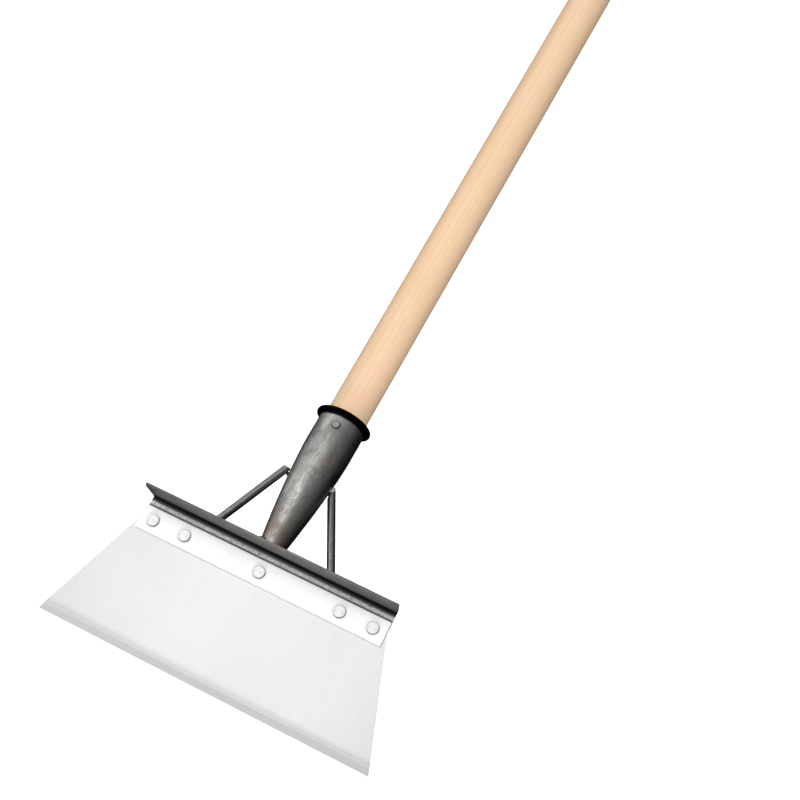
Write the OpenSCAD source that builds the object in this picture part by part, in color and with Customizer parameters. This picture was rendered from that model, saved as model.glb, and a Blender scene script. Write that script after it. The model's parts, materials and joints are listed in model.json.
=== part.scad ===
// Long-handled floor scraper: round wooden handle in a tapered steel socket that is welded
// to an angle bar, with two welded stays beside the socket and a riveted spring-steel blade.
// It lies on a flat floor with its rivet heads up, on its cutting edge and the handle's free end.
// Frame: millimetres, +Z up, X along the cutting edge, +Y from the blade towards the handle's end.
// Origin: on the floor, in the middle of the tool's footprint.

/* [Handle] */
// Diameter of the round wooden handle where it enters the socket
handle_d = 36; // [34:0.5:37.5]
// Diameter of the handle's straight grip, thicker than at the socket because the handle tapers
grip_d = 38; // [37.5:0.1:40]
// Distance from the socket's mouth to the start of the straight grip
grip_start = 550; // [100:10:560]
// Overall length of the handle, with the part inside the socket
handle_len = 1200; // [900:10:1500]
// Radius of the rounding at the handle's free end
handle_round = 6; // [1:0.5:12]

/* [Socket] */
// Length of the socket from the foot on the bar to its mouth
socket_len = 125; // [110:1:150]
// Wall thickness of the socket
socket_wall = 3; // [2.5:0.1:3.2]
// Outer radius at the socket's foot
socket_foot_r = 11.3; // [10.6:0.1:12]
// Radius of the turned-out rim at the mouth
rim_r = 25.2; // [24:0.1:26]
// Thickness of the rim
rim_t = 2.5; // [1.5:0.1:4]

/* [Socket rivet] */
// Distance of the cross rivet below the mouth
cross_down = 14; // [9:0.5:25]
// Diameter of the cross rivet's heads
cross_head_d = 7.2; // [6:0.1:10]
// Diameter of the cross rivet's shank
cross_shank_d = 4.5; // [3:0.1:5.5]

/* [Angle bar] */
// Length of the angle bar along its front edge
bar_len = 231; // [228:1:260]
// Lean of the bar's cut ends, which makes its back shorter than its front edge, in degrees
end_splay = 4.5; // [0:0.5:8]
// Outside width of both legs of the bar
bar_leg = 30; // [26:0.5:36]
// Thickness of the bar
bar_t = 3; // [2:0.5:4]
// Radius in the bar's inner corner
bar_root_r = 1.5; // [1:0.5:5]
// Radius on the inner edge of each leg's tip
bar_toe_r = 1.8; // [0.4:0.2:1.8]
// Angle between the handle and the blade's plane
lean = 6; // [0:0.5:12]
// Distance of the handle's axis in front of the bar's upright leg
stand_off = 15; // [13:0.5:15]

/* [Blade] */
// Width of the cutting edge
edge_w = 300; // [280:1:320]
// Blade's half width at its top
top_half_w = 110.6; // [106:0.1:112]
// Distance of the blade's top below the inner corner of the bar
blade_top = 9.5; // [9.3:0.1:11]
// Distance of the cutting edge below the inner corner of the bar
blade_drop = 122.7; // [110:0.1:140]
// Blade thickness
blade_t = 1.5; // [1:0.1:2]
// Height of the ground bevel
bevel_h = 7; // [3:0.5:12]
// Thickness left at the cutting edge
edge_t = 0.4; // [0.2:0.1:0.8]

/* [Clamp strip] */
// Length of the strip
strip_len = 226.6; // [222:0.1:228]
// Distance of the strip's upper edge below the bar's inner corner
strip_top = 8.8; // [6:0.1:9.2]
// Height of the strip
strip_h = 21.2; // [20:0.1:23]
// Thickness of the strip
strip_t = 3; // [2:0.5:4]

/* [Blade rivets] */
// Distance of the rivet row below the bar's inner corner
row_drop = 19.4; // [17:0.1:20]
// Distance of the two end rivets from the middle
far_x = 101.7; // [96:0.1:104]
// Distance of the next two rivets from the middle
near_x = 71.8; // [60:0.1:80]
// Sideways place of the middle rivet
mid_x = -1.8; // [-3:0.1:3]
// Diameter of the rivet heads
head_d = 10.6; // [9:0.1:12]
// Height of the rivet heads
head_h = 1.7; // [1:0.1:2.5]
// Diameter of the rivet shanks
shank_d = 6; // [4:0.1:7]

/* [Stays] */
// Diameter of the two round stays
stay_d = 7; // [6:0.1:8]
// Distance of each stay's foot from the middle
foot_x = 52.7; // [48:0.1:60]
// Depth of the feet behind the handle's axis
foot_back = 6.2; // [4:0.1:10]
// Distance of the left stay's upper end beside the handle's axis
left_end_x = 21.5; // [21:0.1:22.4]
// Depth of the left stay's upper end behind the handle's axis
left_end_back = -4; // [-5:0.1:0]
// Height of the left stay's upper end above the socket's foot
left_end_h = 65; // [60:0.1:66]
// Lean of the left stay's cut end towards the socket, in degrees
left_cut = 20; // [0:1:30]
// Distance of the right stay's upper end beside the handle's axis
right_end_x = 18.4; // [18:0.1:20]
// Depth of the right stay's upper end behind the handle's axis
right_end_back = 3.7; // [2:0.1:5]
// Height of the right stay's upper end above the socket's foot
right_end_h = 66.8; // [60:0.1:68]
// Lean of the right stay's cut end towards the front, in degrees
right_cut = 47; // [0:1:50]

/* [Hidden] */
$fn = 96;
// larger than the tool's head, for tools that cut right through it
big = 400;
handle_r = handle_d / 2;
grip_r = grip_d / 2;
// the handle's end stops this far above the socket's foot
end_gap = 24;
handle_top = handle_len - socket_len + end_gap;
end_z = handle_top - handle_round;
body_r = handle_r + socket_wall;
// height of the socket's tapered part, and how quickly its slope flattens towards the mouth
taper_h = 96;
taper_power = 1.5;
// spacing of the taper's outline points
taper_step = 8;
// the socket and its room go this far below the foot before they are cut at the bar's face,
// and are this much narrower there
foot_spare = 6;
foot_taper = 0.75;
// chamfer on the rim's two outer edges, and the one that blends the rim into the body
rim_edge = 0.7;
rim_blend = 0.8;
// a tool that rounds the bar's toes reaches this far past them
toe_spare = 1;
// a rivet head's outline: how far its side is set in and its share of the height, at two points
head_low = [0, 0.35];
head_mid = [0.35, 0.72];
head_top = 1.1;
// the point where the handle's axis passes the bar's inner corner
foot_z = -socket_len - bar_t / cos(lean);
inner_leg = bar_leg - bar_t;
// half the bar's length along its front edge and along its back
front_half = bar_len / 2;
back_half = front_half - bar_leg * tan(end_splay);
corner_y = stand_off * cos(lean);
corner_z = foot_z + stand_off * sin(lean);

// outer radius of the socket at a height above its foot
function taper_r(h) =
  body_r - (body_r - socket_foot_r) * pow(1 - min(h, taper_h) / taper_h, taper_power);

stay_r = stay_d / 2;
// both stays are worked out on the +X side: where a foot meets the bar's upper face, and the
// two upper ends
stay_foot = [foot_x, foot_back, foot_back * tan(lean) - socket_len];
left_end = [left_end_x, left_end_back, left_end_h - socket_len];
right_end = [right_end_x, right_end_back, right_end_h - socket_len];
// a stay goes this far beyond both its ends before they are cut
stay_spare = 8;
// the weld bead behind a stay's upper end: its radius, how far it is below that end, how far its
// middle stands off the socket, how far behind the stay's middle it starts as a share of the
// stay's radius, and how many degrees it goes round the socket
bead_r = 1.9;
bead_down = 3;
bead_out = 1.3;
bead_behind = 0.8;
bead_sweep = 16;
// the weld round a stay's foot: its height, and how much wider than the stay it is at each end
foot_bead_h = 5.6;
foot_bead_low = 3.6;
foot_bead_top = 0.3;
// the weld round the socket's foot: its height and its radii at each end
ring_bead_h = 5.5;
ring_bead_low = 16;
ring_bead_top = 11.5;
// both welds at the bar start this far below its face before they are cut there
bead_spare = 2;
// the cross rivet's head height and how far its heads sink into the socket's round side
cross_head_h = 1.3;
cross_sink = 0.15;

// The tool is drawn standing: Z along the handle from the socket's mouth, -Y the front with the
// rivet heads. lay_down() lays it on its back, so that the blade's back edge and the handle's
// free end touch Z = 0 and its footprint is centred on the origin.
edge_y = corner_y + blade_drop * sin(lean);
edge_z = corner_z - blade_drop * cos(lean);
pitch = atan2(edge_y - grip_r, end_z - edge_z);
// the foremost point of the cutting edge, on its front side
tip_y = edge_y - edge_t * cos(lean);
tip_z = edge_z - edge_t * sin(lean);
// where the laid tool starts and ends along Y
near_end = tip_z * cos(pitch) - tip_y * sin(pitch);
far_end = handle_top * cos(pitch) + (grip_r - handle_round) * sin(pitch);
floor_z = -edge_y * cos(pitch) - edge_z * sin(pitch);

module lay_down() {
  translate([0, -(near_end + far_end) / 2, -floor_z]) rotate([-90 - pitch, 0, 0]) children();
}

// places children in the bar's frame: Z up the blade, Y towards the back, origin at the inner corner
module on_bar() {
  translate([0, corner_y, corner_z]) rotate([lean, 0, 0]) children();
}

// everything below the bar's upper face
module below_bar_top() {
  on_bar() translate([-big / 2, -big / 2, bar_t - big]) cube(big);
}

// half of a rivet head's outline, from its rim to its flat middle: set in from the rim, height
function head_outline(hh) =
  [[0, 0], [head_low[0], hh * head_low[1]], [head_mid[0], hh * head_mid[1]], [head_top, hh]];

// a rivet along Y, from its front head at y0 to its back head at y1, with heads hd wide and hh high
module rivet_body(y0, y1, hd, hh, sd) {
  side = head_outline(hh);
  last = len(side) - 1;
  rotate([-90, 0, 0]) rotate_extrude() polygon(concat(
    [[0, y0 - hh]],
    [for (i = [last : -1 : 0]) [hd / 2 - side[i][0], y0 - side[i][1]]],
    [[sd / 2, y0], [sd / 2, y1]],
    [for (i = [0 : last]) [hd / 2 - side[i][0], y1 + side[i][1]]],
    [[0, y1 + hh]]));
}

module blade_rivet(x) {
  color([0.9, 0.9, 0.9]) lay_down() on_bar() translate([x, 0, -row_drop])
    rivet_body(-blade_t - strip_t, bar_t, head_d, head_h, shank_d);
}

module rivet_holes() {
  for (x = [-far_x, -near_x, mid_x, near_x, far_x])
    translate([x, big / 2, -row_drop]) rotate([90, 0, 0]) cylinder(r = shank_d / 2, h = big);
}

module cross_rivet_shape() {
  translate([0, 0, -cross_down])
    rivet_body(-body_r + cross_sink, body_r - cross_sink, cross_head_d, cross_head_h, cross_shank_d);
}

// the tapered side of the socket, moved inwards by a wall, from below its foot to its full width
function taper_side(wall) = concat(
  [[taper_r(0) - wall - foot_taper, -socket_len - foot_spare]],
  [for (h = [0 : taper_step : taper_h]) [taper_r(h) - wall, h - socket_len]]);

// the socket's outside, from below the bar's upper face to its mouth
module socket_outside() {
  rotate_extrude() polygon(concat(
    [[0, -socket_len - foot_spare]], taper_side(0),
    [[body_r, -rim_t - rim_blend], [body_r + rim_blend, -rim_t], [rim_r - rim_edge, -rim_t],
     [rim_r, -rim_t + rim_edge], [rim_r, -rim_edge], [rim_r - rim_edge, 0], [0, 0]]));
}

// the room inside the socket, from z_from up to the mouth; the handle's end fills most of it
module socket_inside(z_from) {
  intersection() {
    rotate_extrude() polygon(concat(
      [[0, -socket_len - foot_spare]], taper_side(socket_wall), [[handle_r, 0], [0, 0]]));
    translate([-big / 2, -big / 2, z_from]) cube([big, big, -z_from]);
  }
}

module handle() {
  color([0.86, 0.68, 0.47]) lay_down() difference() {
    union() {
      socket_inside(end_gap - socket_len);
      cylinder(r1 = handle_r, r2 = grip_r, h = grip_start);
      translate([0, 0, grip_start]) cylinder(r = grip_r, h = end_z - grip_start);
      translate([0, 0, end_z]) rotate_extrude() union() {
        square([grip_r - handle_round, handle_round]);
        translate([grip_r - handle_round, 0]) intersection() {
          circle(handle_round);
          square(handle_round);
        }
      }
    }
    translate([0, big / 2, -cross_down]) rotate([90, 0, 0]) cylinder(d = cross_shank_d, h = big);
  }
}

module socket() {
  color([0.38, 0.37, 0.36]) lay_down() difference() {
    socket_outside();
    socket_inside(-socket_len - foot_spare);
    below_bar_top();
    cross_rivet_shape();
  }
}

module cross_rivet() {
  color([0.45, 0.44, 0.43]) lay_down() cross_rivet_shape();
}

module bar_profile() {
  difference() {
    union() {
      translate([-inner_leg, 0]) square([bar_leg, bar_t]);
      translate([0, -inner_leg]) square([bar_t, bar_leg]);
      translate([-bar_root_r, -bar_root_r]) square(bar_root_r);
    }
    translate([-bar_root_r, -bar_root_r]) circle(bar_root_r);
    // rounded inner edges of the two tips
    for (tip = [[-inner_leg, 0], [0, -inner_leg]])
      translate(tip) difference() {
        translate([-toe_spare, -toe_spare]) square(bar_toe_r + toe_spare);
        translate([bar_toe_r, bar_toe_r]) circle(bar_toe_r);
      }
  }
}

module angle_bar() {
  color([0.25, 0.26, 0.26]) lay_down() on_bar() difference() {
    intersection() {
      translate([-front_half, 0, 0]) rotate([90, 0, 90]) linear_extrude(bar_len) bar_profile();
      translate([0, 0, -big / 2]) linear_extrude(big) polygon([
        [-front_half, -inner_leg], [front_half, -inner_leg],
        [back_half, bar_t], [-back_half, bar_t]]);
    }
    rivet_holes();
  }
}

module blade() {
  color([0.86, 0.87, 0.88]) lay_down() on_bar() difference() {
    intersection() {
      translate([0, big / 2, 0]) rotate([90, 0, 0]) linear_extrude(big) polygon([
        [-top_half_w, -blade_top], [top_half_w, -blade_top],
        [edge_w / 2, -blade_drop], [-edge_w / 2, -blade_drop]]);
      translate([-big / 2, 0, 0]) rotate([90, 0, 90]) linear_extrude(big) polygon([
        [0, 0], [0, -blade_drop], [-edge_t, -blade_drop], [-blade_t, -blade_drop + bevel_h],
        [-blade_t, 0]]);
    }
    rivet_holes();
  }
}

module clamp_strip() {
  color([0.95, 0.95, 0.95]) lay_down() on_bar() difference() {
    translate([-strip_len / 2, -blade_t - strip_t, -strip_top - strip_h])
      cube([strip_len, strip_t, strip_h]);
    rivet_holes();
  }
}

// places children at a stay's upper end, with Z along the stay
module on_stay(end) {
  run = end - stay_foot;
  translate(end) rotate([0, atan2(run[0], run[2]), 0]) rotate([-asin(run[1] / norm(run)), 0, 0])
    children();
}

// a stay on the +X side: its upper end is cut with a lean to the front and to the socket, and
// fitted to the socket's side
module stay_shape(end, cut_front, cut_side) {
  full_len = norm(end - stay_foot);
  difference() {
    on_stay(end) difference() {
      translate([0, 0, -full_len - stay_spare]) cylinder(r = stay_r, h = full_len + 2 * stay_spare);
      rotate([cut_front, cut_side, 0]) translate([-big / 2, -big / 2, 0]) cube(big);
    }
    socket_outside();
    below_bar_top();
  }
}

module stay_right_shape() {
  stay_shape(right_end, right_cut, 0);
}

module stay_left_shape() {
  mirror([1, 0, 0]) stay_shape(left_end, 0, left_cut);
}

module stay_right() {
  color([0.3, 0.31, 0.31]) lay_down() stay_right_shape();
}

module stay_left() {
  color([0.3, 0.31, 0.31]) lay_down() stay_left_shape();
}

// weld bead round the socket's foot, flush with the front edge of the bar
module weld_socket_foot() {
  color([0.42, 0.4, 0.38]) lay_down() difference() {
    intersection() {
      translate([0, 0, -socket_len - bead_spare])
        cylinder(r1 = ring_bead_low, r2 = ring_bead_top, h = ring_bead_h);
      on_bar() translate([-big / 2, -inner_leg, 0]) cube(big);
    }
    socket_outside();
    below_bar_top();
  }
}

// a cone of weld round the foot of a stay on the +X side
module foot_cone(end) {
  on_stay(end) translate([0, 0, -norm(end - stay_foot) - bead_spare])
    cylinder(r1 = stay_r + foot_bead_low, r2 = stay_r + foot_bead_top, h = foot_bead_h);
}

module weld_foot_right() {
  color([0.42, 0.4, 0.38]) lay_down() difference() {
    foot_cone(right_end);
    stay_right_shape();
    below_bar_top();
  }
}

module weld_foot_left() {
  color([0.42, 0.4, 0.38]) lay_down() difference() {
    mirror([1, 0, 0]) foot_cone(left_end);
    stay_left_shape();
    below_bar_top();
  }
}

// short bead that starts at the back of an upper end on the +X side and goes round the socket
module end_bead(end) {
  level = end[2] - bead_down;
  start = atan2(end[1] + bead_behind * stay_r, end[0]);
  translate([0, 0, level]) rotate([0, 0, start]) rotate_extrude(angle = bead_sweep)
    translate([taper_r(level + socket_len) + bead_out, 0]) circle(bead_r);
}

module weld_stay_right() {
  color([0.42, 0.4, 0.38]) lay_down() difference() {
    end_bead(right_end);
    stay_right_shape();
    socket_outside();
  }
}

module weld_stay_left() {
  color([0.42, 0.4, 0.38]) lay_down() difference() {
    mirror([1, 0, 0]) end_bead(left_end);
    stay_left_shape();
    socket_outside();
  }
}

module rivet_far_left() { blade_rivet(-far_x); }
module rivet_near_left() { blade_rivet(-near_x); }
module rivet_mid() { blade_rivet(mid_x); }
module rivet_near_right() { blade_rivet(near_x); }
module rivet_far_right() { blade_rivet(far_x); }

handle();
socket();
cross_rivet();
angle_bar();
stay_left();
stay_right();
blade();
clamp_strip();
rivet_far_left();
rivet_near_left();
rivet_mid();
rivet_near_right();
rivet_far_right();
weld_socket_foot();
weld_foot_left();
weld_foot_right();
weld_stay_left();
weld_stay_right();
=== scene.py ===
import json
import math

import bmesh
import bpy
from mathutils import Matrix, Quaternion, Vector, noise


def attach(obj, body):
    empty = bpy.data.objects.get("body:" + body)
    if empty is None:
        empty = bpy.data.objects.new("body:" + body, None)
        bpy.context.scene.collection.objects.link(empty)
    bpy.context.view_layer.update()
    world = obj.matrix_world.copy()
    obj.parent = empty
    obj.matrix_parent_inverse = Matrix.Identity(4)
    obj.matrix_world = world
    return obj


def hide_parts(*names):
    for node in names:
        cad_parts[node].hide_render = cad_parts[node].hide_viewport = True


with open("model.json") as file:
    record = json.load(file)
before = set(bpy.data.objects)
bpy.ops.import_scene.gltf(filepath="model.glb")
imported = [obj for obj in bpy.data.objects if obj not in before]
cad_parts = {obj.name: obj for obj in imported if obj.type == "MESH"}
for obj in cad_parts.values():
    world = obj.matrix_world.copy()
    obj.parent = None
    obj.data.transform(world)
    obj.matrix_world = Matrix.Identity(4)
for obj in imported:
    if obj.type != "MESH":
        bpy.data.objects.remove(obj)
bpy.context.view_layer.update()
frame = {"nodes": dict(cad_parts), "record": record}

MM = 0.001

# sizes of the CAD part that its nodes' boxes don't give
LEAN = math.radians(6)
HANDLE_R = 18 * MM
HANDLE_ROUND = 6 * MM
SOCKET_LEN = 125 * MM
SOCKET_WALL = 3 * MM
BODY_R = 21 * MM
FOOT_R = 11.3 * MM
RIM_T = 2.5 * MM
TAPER_H = 96 * MM
TAPER_POWER = 1.5
BAR_ROOT_R = 1.5 * MM
BAR_TOE_R = 1.8 * MM
BAR_SPLAY = math.radians(4.5)
BEVEL_H = 7 * MM
EDGE_T = 0.4 * MM
BLADE_TOP_HALF = 110.6 * MM
STAY_R = 3.5 * MM
STAY_FOOT = (52.7 * MM, 6.2 * MM)
# each stay's upper end beside and behind the handle's axis and above the socket's foot
LEFT_END = (21.5 * MM, -4.0 * MM, 65.0 * MM)
RIGHT_END = (18.4 * MM, 3.7 * MM, 66.8 * MM)
# the leans of their cuts: the left one's to the socket, the right one's to the front
LEFT_CUT = math.radians(20)
RIGHT_CUT = math.radians(47)
# the bead behind a stay's upper end: where it starts, in stay radii behind the end, and its degrees
BEAD_BEHIND = 0.8
BEAD_SWEEP = 16
RIVET_HEAD_H = 1.7 * MM
CROSS_HEAD_H = 1.3 * MM

# rounding on the angle bar's outer corners
STEEL_EDGE = 0.3 * MM
# how far the socket's surface wanders from its true shape; always inwards
DENT = 0.12 * MM


# ---------------------------------------------------------------- frames and measuring

class Axes:
    """A local frame: an origin and three unit vectors, in the row frame."""

    def __init__(self, origin, x, y, z):
        self.origin = Vector(origin)
        self.x, self.y, self.z = Vector(x), Vector(y), Vector(z)

    def local(self, p):
        d = Vector(p) - self.origin
        return Vector((d.dot(self.x), d.dot(self.y), d.dot(self.z)))

    def matrix(self):
        turn = Matrix((self.x, self.y, self.z)).transposed().to_4x4()
        return Matrix.Translation(self.origin) @ turn

    def moved(self, offset):
        origin = self.origin + self.x * offset[0] + self.y * offset[1] + self.z * offset[2]
        return Axes(origin, self.x, self.y, self.z)


def points(node, axes):
    """A CAD node's vertices in a local frame."""
    return [axes.local(v.co) for v in frame["nodes"][node].data.vertices]


def extent(node, axes):
    """Lowest and highest corner of a CAD node in a local frame."""
    own = points(node, axes)
    low = Vector(min(p[i] for p in own) for i in range(3))
    high = Vector(max(p[i] for p in own) for i in range(3))
    return low, high


def handle_axes():
    """Z along the handle, with the origin where its axis passes the socket's mouth."""
    grip = next(m for m in frame["record"]["mounts"] if m["name"] == "grip")
    z = Vector(grip["axis"]).normalized()
    x = Vector((1, 0, 0))
    axes = Axes(grip["pos_m"], x, z.cross(x), z)
    return axes.moved((0, 0, extent("socket", axes)[1].z))


def bar_axes(handle):
    """Z up the blade; the origin is on its back, level with the underside of the bar's projecting leg."""
    y = handle.y * math.cos(LEAN) + handle.z * math.sin(LEAN)
    z = handle.z * math.cos(LEAN) - handle.y * math.sin(LEAN)
    axes = Axes((0, 0, 0), handle.x, y, z)
    back = extent("blade", axes)[1].y
    bar_low, bar_high = extent("angle_bar", axes)
    thick = bar_high.y - back
    return axes.moved((0, back, bar_high.z - thick))


HANDLE = handle_axes()
BAR = bar_axes(HANDLE)


# ---------------------------------------------------------------- mesh building

def new_piece(name, mesh_data, axes, node, material, smooth_angle=35):
    """Links a finished bmesh as a piece in a local frame, for one CAD node and kept inside its box."""
    low, high = extent(node, axes)
    for vert in mesh_data.verts:
        vert.co = Vector(min(max(vert.co[i], low[i]), high[i]) for i in range(3))
    bmesh.ops.recalc_face_normals(mesh_data, faces=mesh_data.faces)
    limit = math.radians(smooth_angle)
    for edge in mesh_data.edges:
        if len(edge.link_faces) == 2:
            edge.smooth = edge.calc_face_angle(0) < limit
    for face in mesh_data.faces:
        face.smooth = True
    mesh = bpy.data.meshes.new(name)
    mesh_data.to_mesh(mesh)
    mesh_data.free()
    piece = bpy.data.objects.new(name, mesh)
    bpy.context.scene.collection.objects.link(piece)
    piece.matrix_world = axes.matrix()
    piece.data.materials.append(material)
    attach(piece, "root")
    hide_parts(node)
    return piece


def wander(p, size, seed):
    """A smooth random number from 0 to 1 at a point, which changes over about that size."""
    return 0.5 + 0.5 * max(-1.0, min(1.0, noise.noise(Vector(p) / size + Vector((seed, seed, seed)))))


def rings_to_mesh(bm, rings):
    """Joins rings of points, each a closed circle, into a tube with closed ends."""
    made = [[bm.verts.new(p) for p in ring] for ring in rings]
    for a, b in zip(made, made[1:]):
        for i in range(len(a)):
            j = (i + 1) % len(a)
            bm.faces.new((a[i], a[j], b[j], b[i]))
    bm.faces.new(made[0])
    bm.faces.new(made[-1])


def lathe(outline, segments, dent, size, seed):
    """A solid of revolution about Z from (radius, height) points; its surface sinks in by up to dent."""
    bm = bmesh.new()
    rings = []
    for r, z in outline:
        ring = []
        for i in range(segments):
            a = 2 * math.pi * i / segments
            p = Vector((math.cos(a) * r, math.sin(a) * r, z))
            r_here = r - dent * wander(p, size, seed)
            ring.append((math.cos(a) * r_here, math.sin(a) * r_here, z))
        rings.append(ring)
    rings_to_mesh(bm, rings)
    return bm


def arc(centre, radius, start, end, steps):
    """Points of an arc in a plane, between two angles in degrees."""
    angles = [math.radians(start + (end - start) * i / steps) for i in range(steps + 1)]
    return [(centre[0] + radius * math.cos(a), centre[1] + radius * math.sin(a)) for a in angles]


def spread(start, end, step):
    """Evenly spaced numbers from start to end, about step apart."""
    count = max(1, round(abs(end - start) / step))
    return [start + (end - start) * i / count for i in range(count + 1)]


def sweep(path, radius_at, sides):
    """A round tube along a path of points; radius_at(i, angle) gives its radius."""
    bm = bmesh.new()
    rings = []
    side = None
    for i, p in enumerate(path):
        ahead = Vector(path[min(i + 1, len(path) - 1)]) - Vector(path[max(i - 1, 0)])
        ahead.normalize()
        if side is None:
            side = ahead.orthogonal().normalized()
        side = (side - ahead * side.dot(ahead)).normalized()
        up = ahead.cross(side)
        ring = []
        for k in range(sides):
            a = 2 * math.pi * k / sides
            r = radius_at(i, a)
            ring.append(Vector(p) + side * math.cos(a) * r + up * math.sin(a) * r)
        rings.append(ring)
    rings_to_mesh(bm, rings)
    return bm


# ---------------------------------------------------------------- material building

# the inputs of a Map Range node, in the order of span's numbers
RANGE_INPUTS = ("From Min", "From Max", "To Min", "To Max")


class Look:
    """A material under construction: short names for the nodes that it is made from."""

    def __init__(self, name, roughness, metallic, specular=0.5):
        self.material = bpy.data.materials.new(name)
        self.material.use_nodes = True
        self.nodes = self.material.node_tree.nodes
        self.links = self.material.node_tree.links
        self.shader = self.nodes["Principled BSDF"]
        self.shader.inputs["Roughness"].default_value = roughness
        self.shader.inputs["Metallic"].default_value = metallic
        self.shader.inputs["Specular IOR Level"].default_value = specular
        self.place = self.nodes.new("ShaderNodeTexCoord").outputs["Object"]

    def link(self, value, socket):
        if isinstance(value, (int, float)):
            socket.default_value = value
        elif isinstance(value, tuple):
            socket.default_value = (*value, 1.0) if len(socket.default_value) == 4 else value
        else:
            self.links.new(value, socket)

    def stretched(self, scale):
        node = self.nodes.new("ShaderNodeMapping")
        node.inputs["Scale"].default_value = scale
        self.link(self.place, node.inputs["Vector"])
        return node.outputs["Vector"]

    def noise(self, scale, detail=3.0, rough=0.5, stretch=None, distortion=0.0):
        node = self.nodes.new("ShaderNodeTexNoise")
        node.inputs["Scale"].default_value = scale
        node.inputs["Detail"].default_value = detail
        node.inputs["Roughness"].default_value = rough
        node.inputs["Distortion"].default_value = distortion
        self.link(self.stretched(stretch) if stretch else self.place, node.inputs["Vector"])
        return node.outputs["Fac"]

    def cells(self, scale):
        node = self.nodes.new("ShaderNodeTexVoronoi")
        node.inputs["Scale"].default_value = scale
        self.link(self.place, node.inputs["Vector"])
        return node.outputs["Distance"]

    def math(self, kind, a, b=0.0):
        node = self.nodes.new("ShaderNodeMath")
        node.operation = kind
        self.link(a, node.inputs[0])
        self.link(b, node.inputs[1])
        return node.outputs["Value"]

    def plus(self, a, b):
        return self.math("ADD", a, b)

    def times(self, a, b):
        return self.math("MULTIPLY", a, b)

    def far(self, a, b):
        """How far a point is from the axis that the offsets a and b are measured from."""
        return self.math("SQRT", self.plus(self.times(a, a), self.times(b, b)))

    def span(self, value, low, high, to_low=0.0, to_high=1.0):
        """Softly goes from to_low to to_high while the value goes from low to high."""
        node = self.nodes.new("ShaderNodeMapRange")
        node.interpolation_type = "SMOOTHSTEP"
        self.link(value, node.inputs["Value"])
        for name, number in zip(RANGE_INPUTS, (low, high, to_low, to_high)):
            node.inputs[name].default_value = number
        return node.outputs["Result"]

    def split(self):
        node = self.nodes.new("ShaderNodeSeparateXYZ")
        self.link(self.place, node.inputs["Vector"])
        return node.outputs["X"], node.outputs["Y"], node.outputs["Z"]

    def mix(self, share, a, b):
        node = self.nodes.new("ShaderNodeMix")
        node.data_type = "RGBA"
        self.link(share, node.inputs["Factor"])
        self.link(a, node.inputs[6])
        self.link(b, node.inputs[7])
        return node.outputs[2]

    def colours(self, value, stops):
        node = self.nodes.new("ShaderNodeValToRGB")
        ramp = node.color_ramp
        while len(ramp.elements) < len(stops):
            ramp.elements.new(1.0)
        for element, (place, colour) in zip(ramp.elements, stops):
            element.position = place
            element.color = (*colour, 1.0)
        self.link(value, node.inputs["Fac"])
        return node.outputs["Color"]

    def bump(self, height, depth, strength):
        node = self.nodes.new("ShaderNodeBump")
        node.inputs["Strength"].default_value = strength
        node.inputs["Distance"].default_value = depth
        self.link(height, node.inputs["Height"])
        return node.outputs["Normal"]

    def done(self, colour, roughness=None, normal=None):
        self.link(colour, self.shader.inputs["Base Color"])
        if roughness is not None:
            self.link(roughness, self.shader.inputs["Roughness"])
        if normal is not None:
            self.link(normal, self.shader.inputs["Normal"])
        return self.material


def wood_look():
    """Pale turned wood: growth rings about a pith beside the handle, fibres, pores and soft blotches."""
    look = Look("handle_wood", 0.5, 0.0, specular=0.35)
    x, y, _ = look.split()
    drift = look.noise(1.0, 2.0, stretch=(14, 14, 1.6))
    # the pith is outside the handle, and wavers along it
    from_pith_x = look.plus(look.math("SUBTRACT", x, 0.031), look.times(drift, 0.007))
    from_pith_y = look.plus(look.math("SUBTRACT", y, 0.024), look.times(drift, 0.005))
    ring_width = 0.0034
    ring = look.math("FRACT", look.times(look.far(from_pith_x, from_pith_y), 1 / ring_width))
    late = look.times(look.span(ring, 0.45, 0.93), look.span(ring, 1.0, 0.95))
    fibre = look.noise(1.0, 5.0, 0.65, stretch=(1500, 1500, 26))
    pores = look.span(look.noise(1.0, 3.0, 0.6, stretch=(900, 900, 60)), 0.63, 0.78)
    blotch = look.noise(1.0, 3.0, 0.55, stretch=(34, 34, 9))
    body = look.colours(blotch, [(0.3, (0.86, 0.605, 0.375)), (0.5, (0.885, 0.635, 0.41)),
                                 (0.7, (0.905, 0.61, 0.43))])
    body = look.mix(look.times(late, 0.30), body, (0.76, 0.48, 0.265))
    body = look.mix(look.span(fibre, 0.35, 0.75, 0.0, 0.20), body, (0.80, 0.53, 0.31))
    body = look.mix(look.times(pores, 0.30), body, (0.52, 0.31, 0.16))
    rough = look.span(fibre, 0.3, 0.7, 0.42, 0.60)
    height = look.math("SUBTRACT", fibre, look.times(pores, 0.6))
    return look.done(body, rough, look.bump(height, 0.00006, 0.5))


def streak(look, x, y, z, centre, width, slant):
    """1 along a line up the socket, scratched and painted as a highlight, at an angle about its axis,
    fading to 0 at its sides.
    """
    turn = look.math("ARCTAN2", x, look.times(y, -1.0))
    off = look.math("SUBTRACT", turn, look.plus(centre, look.times(z, slant)))
    waver = look.times(look.math("SUBTRACT", look.noise(60.0, 2.0), 0.5), 0.10)
    return look.span(look.math("ABSOLUTE", look.plus(off, waver)), width, 0.0)


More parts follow.
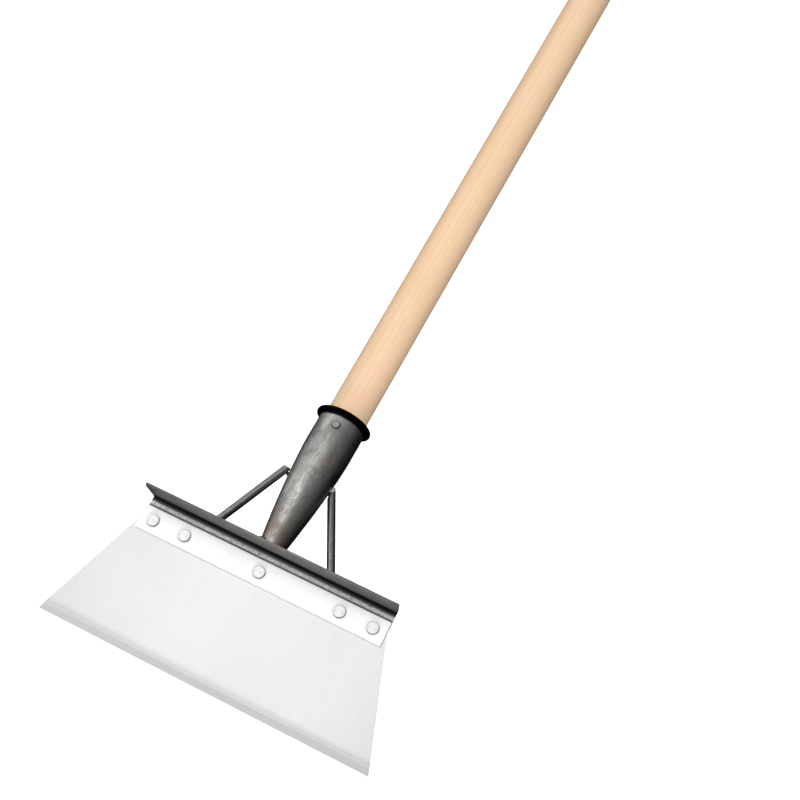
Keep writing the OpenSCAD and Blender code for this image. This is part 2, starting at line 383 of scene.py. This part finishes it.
def socket_look(rivet_height):
    """Heat-tinted, scratched dark steel with a polished line down its front that is also painted
    highlight, painted shade round the cross rivet, and a dark rim that is partly dark finish and partly
    painted shade.
    """
    look = Look("raw_steel", 0.4, 1.0)
    x, y, z = look.split()
    blotch = look.noise(75.0, 4.0, 0.62)
    tint = look.noise(38.0, 3.0, 0.55)
    brushed = look.noise(1.0, 5.0, 0.7, stretch=(1100, 1100, 60))
    body = look.colours(tint, [(0.36, (0.360, 0.390, 0.350)), (0.50, (0.43, 0.425, 0.415)),
                               (0.62, (0.480, 0.420, 0.385))])
    body = look.mix(look.span(blotch, 0.42, 0.66, 0.0, 0.65), body, (0.21, 0.22, 0.215))
    body = look.mix(look.span(brushed, 0.40, 0.68, 0.0, 0.40), body, (0.62, 0.61, 0.595))
    # a paler band down the socket's upper left side: rubbing marks, and a painted highlight where the
    # light from the left falls
    rubbed = look.span(look.noise(1.0, 4.0, 0.65, stretch=(170, 170, 55)), 0.52, 0.66)
    rubbed = look.times(rubbed, streak(look, x, y, z, -0.55, 0.9, 0.9))
    body = look.mix(look.times(rubbed, 0.5), body, (0.80, 0.765, 0.72))
    # a near-white line down the socket's upper side, stronger towards its foot: polished scratches, and a
    # painted highlight where the overhead light is mirrored
    line = streak(look, x, y, z, 0.0, 0.42, 0.9)
    grit = look.span(look.noise(1.0, 5.0, 0.8, stretch=(900, 900, 130)), 0.42, 0.60)
    foot = look.span(z, -0.030, -0.095, 0.40, 1.0)
    wear_and_painted_highlight = look.times(look.times(line, grit), foot)
    body = look.mix(look.times(wear_and_painted_highlight, 0.95), body, (0.98, 0.965, 0.94))
    heat = look.times(look.span(z, -0.080, -0.118), look.span(tint, 0.35, 0.6, 0.4, 0.85))
    body = look.mix(heat, body, (0.34, 0.275, 0.23))
    # painted shade: a near-black ring round the cross rivet's head, on the socket's upper side only,
    # where the gap round the head is shaded
    from_rivet = look.far(x, look.math("SUBTRACT", z, rivet_height))
    ring = look.times(look.span(from_rivet, 0.0042, 0.0037), look.span(y, 0.0, -0.004))
    body = look.mix(look.times(ring, 0.95), body, (0.02, 0.02, 0.02))
    # near black over the rim and the socket's top few millimetres: partly dark finish, partly painted
    # shade on the rim's underside
    rim = look.span(z, -0.0066, -0.0048)
    body = look.mix(rim, body, (0.006, 0.006, 0.006))
    rough = look.plus(look.span(blotch, 0.3, 0.7, 0.36, 0.52), look.times(wear_and_painted_highlight, -0.06))
    height = look.plus(look.times(brushed, 0.6), blotch)
    return look.done(body, rough, look.bump(height, 0.00022, 0.7))


def bar_look(tip_y, strip_top):
    """Dark mill scale on the rolled bar: a bright band beside the strip from rubbing and painted
    highlight, a painted shadow line along the strip's top edge, and painted shade darkest in the inner
    corner.
    """
    look = Look("mill_scale_bar", 0.45, 0.5)
    x, y, z = look.split()
    tint = look.noise(16.0, 3.0, 0.55, stretch=(1.0, 4.0, 4.0))
    drawn = look.noise(1.0, 5.0, 0.7, stretch=(45, 900, 900))
    grit = look.noise(1.0, 4.0, 0.75, stretch=(260, 900, 900))
    pits = look.span(look.cells(700.0), 0.0, 0.32, 1.0, 0.0)
    body = look.colours(tint, [(0.34, (0.120, 0.142, 0.134)), (0.5, (0.165, 0.163, 0.162)),
                               (0.66, (0.200, 0.168, 0.160))])
    body = look.mix(look.span(drawn, 0.42, 0.72, 0.0, 0.30), body, (0.26, 0.262, 0.255))
    body = look.mix(look.times(pits, 0.30), body, (0.05, 0.05, 0.048))
    ends = look.span(look.math("ABSOLUTE", x), 0.025, 0.100, 0.15, 0.62)
    body = look.mix(ends, body, (0.075, 0.077, 0.076))
    tip = look.span(y, tip_y + 0.0030, tip_y + 0.0006)
    rubs = look.span(look.noise(1.0, 4.0, 0.7, stretch=(60, 500, 500)), 0.42, 0.62, 0.0, 0.25)
    body = look.mix(look.times(tip, rubs), body, (0.40, 0.39, 0.375))
    inside = look.times(look.span(y, 0.0012, 0.0004), look.span(z, 0.0012, 0.0004))
    corner = look.times(look.span(y, -0.0100, -0.0050), look.span(z, -0.0030, -0.0008))
    # painted shade: near black in the inner corner of the angle, where the legs meet and shade falls
    painted_crease_shade = look.times(inside, corner)
    # a bright band on the upright leg beside the strip: rubbing wear, and a painted highlight where the
    # leg's face mirrors the overhead light
    band = look.times(look.span(z, -0.0026, -0.0044), look.span(y, -0.004, -0.0012))
    wear_and_painted_highlight = look.times(band, look.span(grit, 0.34, 0.58, 0.35, 1.0))
    body = look.mix(wear_and_painted_highlight, body, (0.90, 0.91, 0.895))
    # painted shadow: a dark line on the upright leg just above the strip's top edge, where the gap behind
    # the strip is shaded
    painted_gap_shadow = look.times(look.span(z, strip_top + 0.0028, strip_top + 0.0016), inside)
    painted_gap_shadow = look.times(painted_gap_shadow, look.span(grit, 0.3, 0.6, 0.55, 0.95))
    body = look.mix(painted_gap_shadow, body, (0.06, 0.061, 0.06))
    body = look.mix(painted_crease_shade, body, (0.004, 0.0045, 0.004))
    rough = look.span(drawn, 0.3, 0.7, 0.38, 0.56)
    height = look.math("SUBTRACT", look.plus(drawn, look.times(grit, band)), look.times(pits, 0.5))
    return look.done(body, rough, look.bump(height, 0.00018, 0.7))


def rod_look(name):
    """Dark drawn rod with faint scale and rubbed spots; gives its parts, to be added to."""
    look = Look(name, 0.42, 1.0)
    tint = look.noise(40.0, 3.0, 0.5)
    drawn = look.noise(1.0, 4.0, 0.7, stretch=(900, 900, 80))
    rubs = look.span(look.noise(120.0, 4.0, 0.6), 0.54, 0.68)
    body = look.colours(tint, [(0.3, (0.20, 0.203, 0.20)), (0.7, (0.29, 0.286, 0.276))])
    body = look.mix(look.span(drawn, 0.4, 0.7, 0.0, 0.35), body, (0.36, 0.36, 0.35))
    body = look.mix(look.times(rubs, 0.35), body, (0.55, 0.54, 0.51))
    rough = look.span(tint, 0.3, 0.7, 0.26, 0.38)
    return look, body, rough, look.bump(look.plus(drawn, rubs), 0.00010, 0.5)


def stay_look(name, slope_x, slope_y):
    """The rod's scale, with a fresh bright cut across its upper end."""
    look, body, rough, bump = rod_look(name)
    x, y, z = look.split()
    plane = look.plus(look.times(x, slope_x), look.times(y, slope_y))
    above = look.math("SUBTRACT", z, plane)
    cut = look.span(above, -0.00030, -0.00005)
    sawn = look.noise(1.0, 3.0, 0.6, stretch=(500, 2500, 500))
    body = look.mix(look.times(cut, look.span(sawn, 0.3, 0.7, 0.7, 1.0)), body, (0.98, 0.98, 0.97))
    look.link(look.span(cut, 0.0, 1.0, 1.0, 0.0), look.shader.inputs["Metallic"])
    return look.done(body, rough, bump)


def blade_look(edge_height):
    """Bright ground spring steel: fine grinding lines up the blade and a ground bevel."""
    look = Look("spring_steel", 0.34, 1.0)
    _, _, z = look.split()
    cloud = look.noise(9.0, 3.0, 0.5)
    lines = look.noise(1.0, 5.0, 0.7, stretch=(1400, 200, 16))
    cross = look.noise(1.0, 4.0, 0.7, stretch=(14, 200, 1700))
    scratch = look.span(look.noise(1.0, 2.0, 0.5, stretch=(260, 40, 3.5), distortion=0.6), 0.70, 0.76)
    body = look.colours(cloud, [(0.3, (0.73, 0.732, 0.735)), (0.7, (0.785, 0.786, 0.788))])
    body = look.mix(look.span(lines, 0.35, 0.75, 0.0, 0.04), body, (0.62, 0.622, 0.626))
    body = look.mix(look.times(scratch, 0.10), body, (0.54, 0.54, 0.55))
    bevel = look.span(z, edge_height + 0.0078, edge_height + 0.0066)
    ground = look.times(bevel, look.span(cross, 0.3, 0.7, 0.65, 0.95))
    body = look.mix(ground, body, (0.97, 0.972, 0.976))
    rough = look.plus(look.span(lines, 0.3, 0.7, 0.27, 0.29), look.times(bevel, 0.05))
    height = look.plus(lines, look.times(cross, 0.3))
    return look.done(body, rough, look.bump(height, 0.00003, 0.10))


def bright_look(name, base, dull, metallic, side_r=None):
    """Bright plated steel with soft zinc mottling. A rivet head whose radius is side_r has painted shade
    round its foot, most on its side towards +X and the cutting edge."""
    look = Look(name, 0.4, metallic)
    mottle = look.noise(240.0, 4.0, 0.6)
    cloud = look.noise(18.0, 2.0, 0.5)
    drawn = look.noise(1.0, 4.0, 0.65, stretch=(30, 900, 900))
    body = look.mix(look.span(cloud, 0.3, 0.7), base, tuple(c * 0.97 for c in base))
    body = look.mix(look.span(mottle, 0.45, 0.75, 0.0, 0.35), body, dull)
    body = look.mix(look.span(drawn, 0.55, 0.8, 0.0, 0.18), body, dull)
    if side_r is not None:
        x, y, _ = look.split()
        # painted shade: a near-black ring at the head's foot, strongest towards +X and the cutting edge,
        # where the head's side and the gap under it are shaded
        painted_shade_side = look.span(look.math("SUBTRACT", x, y), -side_r, side_r * 0.6, 0.15, 1.0)
        foot = look.span(look.far(x, y), side_r - 0.00050, side_r - 0.00022)
        body = look.mix(look.times(foot, painted_shade_side), body, (0.012, 0.012, 0.012))
    rough = look.span(mottle, 0.3, 0.7, 0.34, 0.50)
    return look.done(body, rough, look.bump(look.plus(mottle, drawn), 0.00005, 0.4))


def weld_look():
    """Brushed weld metal, brown and blue with heat between bright ripple tops."""
    look = Look("weld_metal", 0.42, 1.0)
    heat = look.noise(160.0, 3.0, 0.6)
    grain = look.noise(900.0, 4.0, 0.7)
    body = look.colours(heat, [(0.3, (0.15, 0.125, 0.11)), (0.5, (0.26, 0.225, 0.20)),
                               (0.72, (0.42, 0.39, 0.36))])
    body = look.mix(look.span(grain, 0.5, 0.75, 0.0, 0.4), body, (0.08, 0.075, 0.072))
    return look.done(body, look.span(heat, 0.3, 0.7, 0.36, 0.55), look.bump(grain, 0.00012, 0.6))


# ---------------------------------------------------------------- handle and socket

def taper(height):
    """The socket's outer radius at a height above its foot."""
    rest = 1 - min(height, TAPER_H) / TAPER_H
    return BODY_R - (BODY_R - FOOT_R) * rest ** TAPER_POWER


def wooden_handle():
    """The turned handle: a tapered shaft, a straight grip and a rounded end with a small flat."""
    low, high = extent("handle", HANDLE)
    grip = next(m for m in frame["record"]["mounts"] if m["name"] == "grip")
    start = HANDLE.local(grip["pos_m"]).z
    grip_r = high.x
    flat_r = grip_r - HANDLE_ROUND
    foot_r = taper(low.z + SOCKET_LEN) - SOCKET_WALL
    outline = [(0.3 * MM, low.z), (foot_r, low.z)]
    inside = spread(low.z, TAPER_H - SOCKET_LEN, 10 * MM)[1:]
    outline += [(taper(z + SOCKET_LEN) - SOCKET_WALL, z) for z in inside]
    outline += [(HANDLE_R + (grip_r - HANDLE_R) * z / start, z) for z in spread(0.0, start, 8 * MM)]
    outline += [(grip_r, z) for z in spread(start, high.z - HANDLE_ROUND, 8 * MM)[1:]]
    outline += arc((flat_r, high.z - HANDLE_ROUND), HANDLE_ROUND, 0, 90, 10)[1:]
    outline += [(flat_r * s, high.z) for s in (0.85, 0.5, 0.02)]
    bm = lathe(outline, segments=96, dent=0.10 * MM, size=50 * MM, seed=3.1)
    return new_piece("turned_handle", bm, HANDLE, "handle", wood_look())


def steel_socket():
    """The socket: a tapered body, a turned-out rim with a rolled edge, and its inner wall and floor."""
    rim_r = extent("socket", HANDLE)[1].x
    roll, flare = 0.7 * MM, 1.6 * MM
    # the room inside: the handle's clearance, the rounding of its mouth, and its conical floor
    gap, lip = 0.12 * MM, 0.9 * MM
    floor_h, pit_h, pit_r = 20 * MM, 14 * MM, 1.0 * MM
    # the foot starts this far below the axis' end, under the bar's slanting face, a little narrower
    foot_below, foot_narrower = 1.6 * MM, 0.25 * MM
    side = [(FOOT_R - foot_narrower, -SOCKET_LEN - foot_below)]
    side += [(taper(h), h - SOCKET_LEN) for h in spread(0.0, TAPER_H, 3 * MM)]
    side += [(BODY_R, z) for z in spread(TAPER_H - SOCKET_LEN, -RIM_T - flare, 4 * MM)[1:]]
    side += arc((BODY_R + flare, -RIM_T - flare), flare, 180, 90, 8)[1:]
    side += arc((rim_r - roll, -RIM_T + roll), roll, -90, 0, 6)
    side += arc((rim_r - roll, -roll), roll, 0, 90, 6)
    inner_r = HANDLE_R + gap
    side += arc((inner_r + lip, -lip), lip, 90, 180, 6)
    side += [(inner_r, TAPER_H - SOCKET_LEN), (taper(floor_h) - SOCKET_WALL, floor_h - SOCKET_LEN)]
    side += [(pit_r, pit_h - SOCKET_LEN)]
    bm = lathe(side, segments=128, dent=DENT, size=11 * MM, seed=7.7)
    return new_piece("forged_socket", bm, HANDLE, "socket", socket_look(cross_height()))


def cross_height():
    """The cross rivet's height."""
    low, high = extent("cross_rivet", HANDLE)
    return (low.z + high.z) / 2


# ---------------------------------------------------------------- rivets

def rivet(name, node, axes, material, head, seed):
    """A set rivet: two flat-crowned heads, each undercut where it meets the plate, on one shank."""
    low, high = extent(node, axes)
    centre = (low + high) / 2
    head_r = (high.x - low.x) / 2
    half = (high.y - low.y) / 2
    own = axes.moved(centre)
    own = Axes(own.origin, own.x, own.z, -own.y)
    round_r = head * 0.3
    shank_r = head_r * 0.56
    # a head's dished middle, and the slanting undercut at its foot, which just clears the plate
    dished, under_w, under_h, slack = 0.05 * MM, 0.20 * MM, 0.25 * MM, 0.02 * MM
    foot = half - head
    top = [(head_r * s, half - dished * (1 - s)) for s in (0.02, 0.35, 0.6)]
    top += [(head_r - round_r, half)]
    top += arc((head_r - round_r, half - round_r), round_r, 90, 0, 6)[1:]
    top += [(head_r - slack, foot + under_h), (head_r - slack - under_w, foot + slack)]
    outline = top + [(shank_r, foot)] + [(shank_r, -foot)]
    outline += [(r, -z) for r, z in reversed(top)]
    bm = lathe(outline, segments=48, dent=0.09 * MM, size=3.2 * MM, seed=seed)
    return new_piece(name, bm, own, node, material)


def blade_rivets():
    """The five rivets along the strip."""
    low, high = extent("rivet_mid", BAR)
    side_r = (high.x - low.x) / 2
    base, dull = (0.95, 0.95, 0.945), (0.68, 0.68, 0.67)
    material = bright_look("bright_steel_rivets", base, dull, 0.80, side_r)
    names = ("far_left", "near_left", "mid", "near_right", "far_right")
    for i, name in enumerate(names):
        rivet(f"set_rivet_{name}", f"rivet_{name}", BAR, material, RIVET_HEAD_H, 11.0 + 2.3 * i)


def cross_rivet():
    """The small rivet that pins the handle in the socket."""
    look, body, rough, bump = rod_look("raw_steel_rivet")
    x, y, _ = look.split()
    body = look.mix(look.span(look.far(x, y), 0.0030, 0.0026), body, (0.50, 0.495, 0.485))
    material = look.done(body, rough, bump)
    rivet("set_cross_rivet", "cross_rivet", HANDLE, material, CROSS_HEAD_H, 5.0)


# ---------------------------------------------------------------- bar, strip and blade

def extrude_outline(outline, low_x, high_x, step, dent, seed):
    """A solid along X from a (y, z) outline, in slices, with a surface that sinks in by up to dent."""
    bm = bmesh.new()
    middle_y = sum(p[0] for p in outline) / len(outline)
    middle_z = sum(p[1] for p in outline) / len(outline)
    rings = []
    for x in spread(low_x, high_x, step):
        ring = []
        for y, z in outline:
            sink = dent * wander((x, y, z), 12 * MM, seed)
            inward = Vector((middle_y - y, middle_z - z))
            inward = inward.normalized() * sink if inward.length > 0 else inward
            ring.append((x, y + inward.x, z + inward.y))
        rings.append(ring)
    rings_to_mesh(bm, rings)
    return bm


def angle_bar():
    """The rolled angle bar: a filleted inner corner, rounded toes, broken corners and splayed ends."""
    low, high = extent("angle_bar", BAR)
    nick, toe = STEEL_EDGE, BAR_TOE_R
    outline = arc((low.y + nick, high.z - nick), nick, 180, 90, 3)
    outline += arc((high.y - nick, high.z - nick), nick, 90, 0, 3)
    outline += arc((high.y - nick, low.z + nick), nick, 0, -90, 3)
    outline += arc((toe, low.z + toe), toe, -90, -180, 6)
    outline += arc((-BAR_ROOT_R, -BAR_ROOT_R), BAR_ROOT_R, 0, 90, 8)
    outline += arc((low.y + toe, toe), toe, -90, -180, 6)
    bm = extrude_outline(outline, low.x, high.x, 4 * MM, 0.06 * MM, 21.0)
    for vert in bm.verts:
        vert.co.x *= 1 - (vert.co.y - low.y) * math.tan(BAR_SPLAY) / high.x
    material = bar_look(low.y, extent("clamp_strip", BAR)[1].z)
    return new_piece("rolled_angle_bar", bm, BAR, "angle_bar", material, smooth_angle=50)


def clamp_strip():
    """The flat clamp strip, sheared to length, with rounded long edges."""
    low, high = extent("clamp_strip", BAR)
    r = 0.45 * MM
    outline = arc((low.y + r, high.z - r), r, 180, 90, 4) + arc((high.y - r, high.z - r), r, 90, 0, 4)
    outline += arc((high.y - r, low.z + r), r, 0, -90, 4) + arc((low.y + r, low.z + r), r, -90, -180, 4)
    bm = extrude_outline(outline, low.x, high.x, 4 * MM, 0.03 * MM, 31.0)
    base, dull = (0.94, 0.945, 0.94), (0.87, 0.875, 0.87)
    material = bright_look("bright_steel_strip", base, dull, 0.25)
    return new_piece("flat_clamp_strip", bm, BAR, "clamp_strip", material, smooth_angle=50)


def spring_blade():
    """The blade: a thin ground sheet with sheared sides and a bevel along its front edge."""
    low, high = extent("blade", BAR)
    back, front = high.y, low.y
    rows = [(z, front) for z in spread(high.z, low.z + BEVEL_H, 6 * MM)]
    rows += [(low.z + BEVEL_H * s, front - (front + EDGE_T) * (1 - s)) for s in (0.75, 0.5, 0.25, 0.0)]
    bm = bmesh.new()
    columns = 72
    # the front face is a little wavy, and less so over this height below its top
    wave, calm_h = 0.05 * MM, 10 * MM
    rings = []
    for z, y_front in rows:
        half = BLADE_TOP_HALF + (high.x - BLADE_TOP_HALF) * (high.z - z) / (high.z - low.z)
        line = []
        for c in range(columns + 1):
            x = -half + 2 * half * c / columns
            sink = wave * wander((x, 0, z), 55 * MM, 41.0) * min(1, (high.z - z) / calm_h)
            line.append((x, y_front + min(sink, (back - y_front) * 0.3), z))
        rings.append(line + [(x, back, z) for x, _, z in reversed(line)])
    rings_to_mesh(bm, rings)
    return new_piece("ground_blade", bm, BAR, "blade", blade_look(low.z), smooth_angle=20)


# ---------------------------------------------------------------- stays and welds

def stay_axes(side, place):
    """Z up one stay from the middle of its cut, Y to its back; side is -1 for the left one."""
    foot_x, foot_y = STAY_FOOT
    foot = Vector((side * foot_x, foot_y, foot_y * math.tan(LEAN) - SOCKET_LEN))
    end = Vector((side * place[0], place[1], place[2] - SOCKET_LEN))
    along = (end - foot).normalized()
    back = Vector((0, 1, 0)) - along * along.y
    turn = HANDLE.matrix().to_3x3()
    z, y = turn @ along, (turn @ back).normalized()
    return Axes(HANDLE.matrix() @ end, y.cross(z), y, z), (end - foot).length


def stay(name, node, side, place, lean_front, lean_side):
    """A straight round stay: a cut upper end with a broken edge, fitted to the socket's side."""
    axes, length = stay_axes(side, place)
    rise_y, rise_x = math.tan(lean_front), -side * math.tan(lean_side)
    sides, nick, step = 40, 0.25 * MM, 2 * MM
    # the plain rings stop more than this far below the cut's middle, clear of its slope
    clear = 5 * MM
    levels = [-length - step + i * step for i in range(int((length - clear) / step) + 1)]
    bm = bmesh.new()
    rings = []
    for level, r in [(z, STAY_R) for z in levels] + [(-nick, STAY_R), (0.0, STAY_R - nick)]:
        at_cut = level > levels[-1]
        ring = []
        for k in range(sides):
            a = 2 * math.pi * k / sides
            p = Vector((r * math.cos(a), r * math.sin(a), level))
            if at_cut:
                p.z += p.y * rise_y + p.x * rise_x
            sink = 0.05 * MM * wander(p, 9 * MM, 80.0 + side)
            p.x, p.y = p.x * (1 - sink / STAY_R), p.y * (1 - sink / STAY_R)
            slide = Vector((side, 0, side * rise_x if at_cut else 0))
            ring.append(fitted_to_socket(axes, p, slide))
        rings.append(ring)
    rings_to_mesh(bm, rings)
    return new_piece(name, bm, axes, node, stay_look(name + "_look", rise_x, rise_y))


def fitted_to_socket(axes, p, slide):
    """Slides a point in a local frame along a direction until it is outside the socket's round side."""
    step, most_steps = 0.04 * MM, 200
    matrix = axes.matrix()
    for _ in range(most_steps):
        q = HANDLE.local(matrix @ p)
        if math.hypot(q.x, q.y) >= taper(q.z + SOCKET_LEN):
            break
        p = p + slide * step
    return p


def stays():
    """The two stays beside the socket; the left one's end leans to it, the right one's to the front."""
    stay("round_stay_left", "stay_left", -1, LEFT_END, 0.0, LEFT_CUT)
    stay("round_stay_right", "stay_right", 1, RIGHT_END, RIGHT_CUT, 0.0)


def bead(name, node, route, thickness, material, seed, axes=HANDLE):
    """A rippled weld bead along a route: overlapping scallops on a rounded ridge."""
    ripple, end_length = 1.7 * MM, 2.0 * MM
    lengths = [0.0]
    for a, b in zip(route, route[1:]):
        lengths.append(lengths[-1] + (Vector(b) - Vector(a)).length)
    total = lengths[-1]

    def radius(i, angle):
        end = min(lengths[i], total - lengths[i]) / end_length
        swell = math.sqrt(max(0.02, min(1.0, end)))
        phase = (lengths[i] / ripple) % 1.0
        # a ripple is 1 high at its crest, 0.35 of the way along it, and 0.86 or more elsewhere
        scallop = 0.86 + 0.14 * math.sqrt(max(0.0, 1 - (phase - 0.35) ** 2 * 2.2))
        rough = 0.90 + 0.10 * wander(route[i], 2.5 * MM, seed)
        return thickness * swell * scallop * rough

    bm = sweep(route, radius, sides=20)
    return new_piece(name, bm, axes, node, material)


def foot_ring(centre_x, centre_y, radius, squeeze, start, end, top):
    """A route round a foot on the bar's upper face, in the bar's frame."""
    steps = 90
    angles = [math.radians(start + (end - start) * i / steps) for i in range(steps + 1)]
    return [Vector((centre_x + radius * math.cos(a), centre_y + squeeze * radius * math.sin(a), top))
            for a in angles]


def socket_weld(material, top):
    """The bead round the socket's foot; it is open at the bar's front edge."""
    centre_y = BAR.local(HANDLE.matrix() @ Vector((0, 0, -SOCKET_LEN))).y
    ring, start, end = FOOT_R + 0.9 * MM, -62, 242
    route = foot_ring(0, centre_y, ring, 1.0, start, end, top + 0.2 * MM)
    bead("weld_bead_socket", "weld_socket_foot", route, 1.7 * MM, material, 51.0, BAR)


def foot_weld(material, top, side, name):
    """The bead round one stay's foot."""
    low, high = extent(f"weld_foot_{name}", BAR)
    middle = (low + high) / 2
    ring = (high.y - low.y) / 2 - 1.5 * MM
    stretch = (high.x - low.x) / (high.y - low.y)
    start, end = 0, 350
    route = foot_ring(middle.x, middle.y, ring * stretch, 1 / stretch, start, end, top + 0.1 * MM)
    bead(f"weld_bead_foot_{name}", f"weld_foot_{name}", route, 1.4 * MM, material, 61.0 + side, BAR)


def stay_weld(material, side, name, stay_end):
    """The short bead that goes round the socket from behind one stay's upper end."""
    low, high = extent(f"weld_stay_{name}", HANDLE)
    level = (low.z + high.z) / 2
    ring, steps = taper(level + SOCKET_LEN) + 1.2 * MM, 40
    start = math.atan2(stay_end[1] + BEAD_BEHIND * STAY_R, stay_end[0])
    angles = [start + math.radians(BEAD_SWEEP * i / steps) for i in range(steps + 1)]
    route = [Vector((side * ring * math.cos(a), ring * math.sin(a), level)) for a in angles]
    bead(f"weld_bead_stay_{name}", f"weld_stay_{name}", route, 1.7 * MM, material, 71.0 + side)


def welds():
    """All the beads, in one look."""
    material = weld_look()
    top = extent("angle_bar", BAR)[1].z
    socket_weld(material, top)
    for side, name, stay_end in ((-1, "left", LEFT_END), (1, "right", RIGHT_END)):
        foot_weld(material, top, side, name)
        stay_weld(material, side, name, stay_end)


# ---------------------------------------------------------------- stage

# the camera: where it looks on the floor, from which side and how high, its distance and its turn
LOOK_AT = (0.02708, -0.37285, 0.0)
AZIMUTH = 25.066
ELEVATION = 63.063
DISTANCE = 1.14765
ROLL = 1.6054
LENS = 58.776


def camera():
    """The camera at the reference view."""
    a, e = math.radians(AZIMUTH), math.radians(ELEVATION)
    back = Vector((math.sin(a) * math.cos(e), -math.cos(a) * math.cos(e), math.sin(e)))
    data = bpy.data.cameras.new("camera")
    data.lens = LENS
    data.clip_start, data.clip_end = 0.01, 100
    cam = bpy.data.objects.new("camera", data)
    bpy.context.scene.collection.objects.link(cam)
    cam.location = Vector(LOOK_AT) + back * DISTANCE
    cam.rotation_mode = "QUATERNION"
    aim = (-back).to_track_quat("-Z", "Y")
    cam.rotation_quaternion = aim @ Quaternion((0, 0, 1), math.radians(ROLL))
    bpy.context.scene.camera = cam


def stage_piece(name, bm, material):
    """Links a part of the set that the camera sees and the steel and the wood don't."""
    mesh = bpy.data.meshes.new(name)
    bm.to_mesh(mesh)
    bm.free()
    obj = bpy.data.objects.new(name, mesh)
    bpy.context.scene.collection.objects.link(obj)
    obj.data.materials.append(material)
    obj.visible_diffuse = False
    obj.visible_glossy = False
    return obj


def pale_look(name, glow):
    """Pale, faintly mottled paper that also glows a little, as a lit sweep does."""
    look = Look(name, 0.9, 0.0, specular=0.0)
    speck = look.noise(30.0, 3.0)
    look.shader.inputs["Emission Color"].default_value = (1, 1, 1, 1)
    look.shader.inputs["Emission Strength"].default_value = glow
    return look.done(look.mix(look.span(speck, 0.3, 0.7), (0.86, 0.86, 0.86), (0.88, 0.88, 0.88)))


FLOOR_GLOW = 0.9
FLOOR_HALF = 12
ROOM_R = 11


def stage():
    """A pale floor that the tool lies on, and a white room around it."""
    bm = bmesh.new()
    bmesh.ops.create_grid(bm, x_segments=1, y_segments=1, size=FLOOR_HALF)
    stage_piece("floor", bm, pale_look("pale_floor", FLOOR_GLOW))
    bm = bmesh.new()
    bmesh.ops.create_uvsphere(bm, u_segments=48, v_segments=24, radius=ROOM_R)
    room = stage_piece("room", bm, pale_look("white_room", 1.0))
    room.visible_shadow = False
    room.visible_transmission = False


def lamp(name, place, aim, size, power):
    """A soft round lamp; it isn't mirrored in the steel, which reflects the sky alone."""
    data = bpy.data.lights.new(name, "AREA")
    data.shape = "DISK"
    data.size = size
    data.energy = power
    obj = bpy.data.objects.new(name, data)
    bpy.context.scene.collection.objects.link(obj)
    obj.location = place
    obj.rotation_mode = "QUATERNION"
    obj.rotation_quaternion = (Vector(aim) - Vector(place)).to_track_quat("-Z", "Y")
    obj.visible_glossy = False
    obj.visible_camera = False


# the sky: a weak light from everywhere, and soft round patches, each one's direction, the cosines
# of the angles from it at which the patch starts and is full, and its strength
SKY_BASE = 0.003
SKY_PATCHES = (
    ((-0.205, 0.02, 0.97), 0.966, 1.00, 0.95),
    ((-0.17, 0.06, 0.98), 0.84, 1.00, 0.22),
    ((-0.62, 0.10, 0.78), 0.05, 0.95, 0.40),
    ((-0.85, 0.10, 0.50), 0.70, 1.00, 0.62),
    ((0.60, 0.40, 0.70), 0.55, 1.00, 0.22),
    ((0.05, -0.87, 0.42), 0.58, 0.95, 0.45),
)


def sky():
    """Soft room light: bright overhead and to the left, weaker to the right and low in front."""
    world = bpy.data.worlds.new("studio")
    bpy.context.scene.world = world
    world.use_nodes = True
    nodes, links = world.node_tree.nodes, world.node_tree.links
    direction = nodes.new("ShaderNodeTexCoord").outputs["Generated"]
    total = None
    for towards, start, full, strength in SKY_PATCHES:
        facing = nodes.new("ShaderNodeVectorMath")
        facing.operation = "DOT_PRODUCT"
        facing.inputs[1].default_value = Vector(towards).normalized()
        links.new(direction, facing.inputs[0])
        ramp = nodes.new("ShaderNodeMapRange")
        ramp.interpolation_type = "SMOOTHSTEP"
        for name, number in zip(RANGE_INPUTS, (start, full, 0, strength)):
            ramp.inputs[name].default_value = number
        links.new(facing.outputs["Value"], ramp.inputs["Value"])
        add = nodes.new("ShaderNodeMath")
        add.operation = "ADD"
        add.inputs[1].default_value = SKY_BASE
        links.new(ramp.outputs["Result"], add.inputs[0])
        if total is not None:
            links.new(total, add.inputs[1])
        total = add.outputs["Value"]
    background = nodes["Background"]
    links.new(total, background.inputs["Strength"])
    background.inputs["Color"].default_value = (1, 1, 1, 1)


KEY_POWER = 12.6
FILL_POWER = 22
FRONT_POWER = 17


def lights():
    """A key lamp from the upper left, a fill lamp from the right and a low one in front of the blade."""
    lamp("key", (-1.1, -0.1, 1.7), aim=(0, -0.1, 0), size=1.6, power=KEY_POWER)
    lamp("fill", (1.5, -0.3, 1.2), aim=(0, -0.1, 0), size=2.0, power=FILL_POWER)
    lamp("front", (0.2, -2.2, 0.40), aim=(0, -0.5, 0.03), size=0.6, power=FRONT_POWER)


# ---------------------------------------------------------------- everything

bpy.context.scene.view_settings.view_transform = "Standard"
camera()
stage()
sky()
lights()
wooden_handle()
steel_socket()
cross_rivet()
angle_bar()
clamp_strip()
spring_blade()
blade_rivets()
stays()
welds()
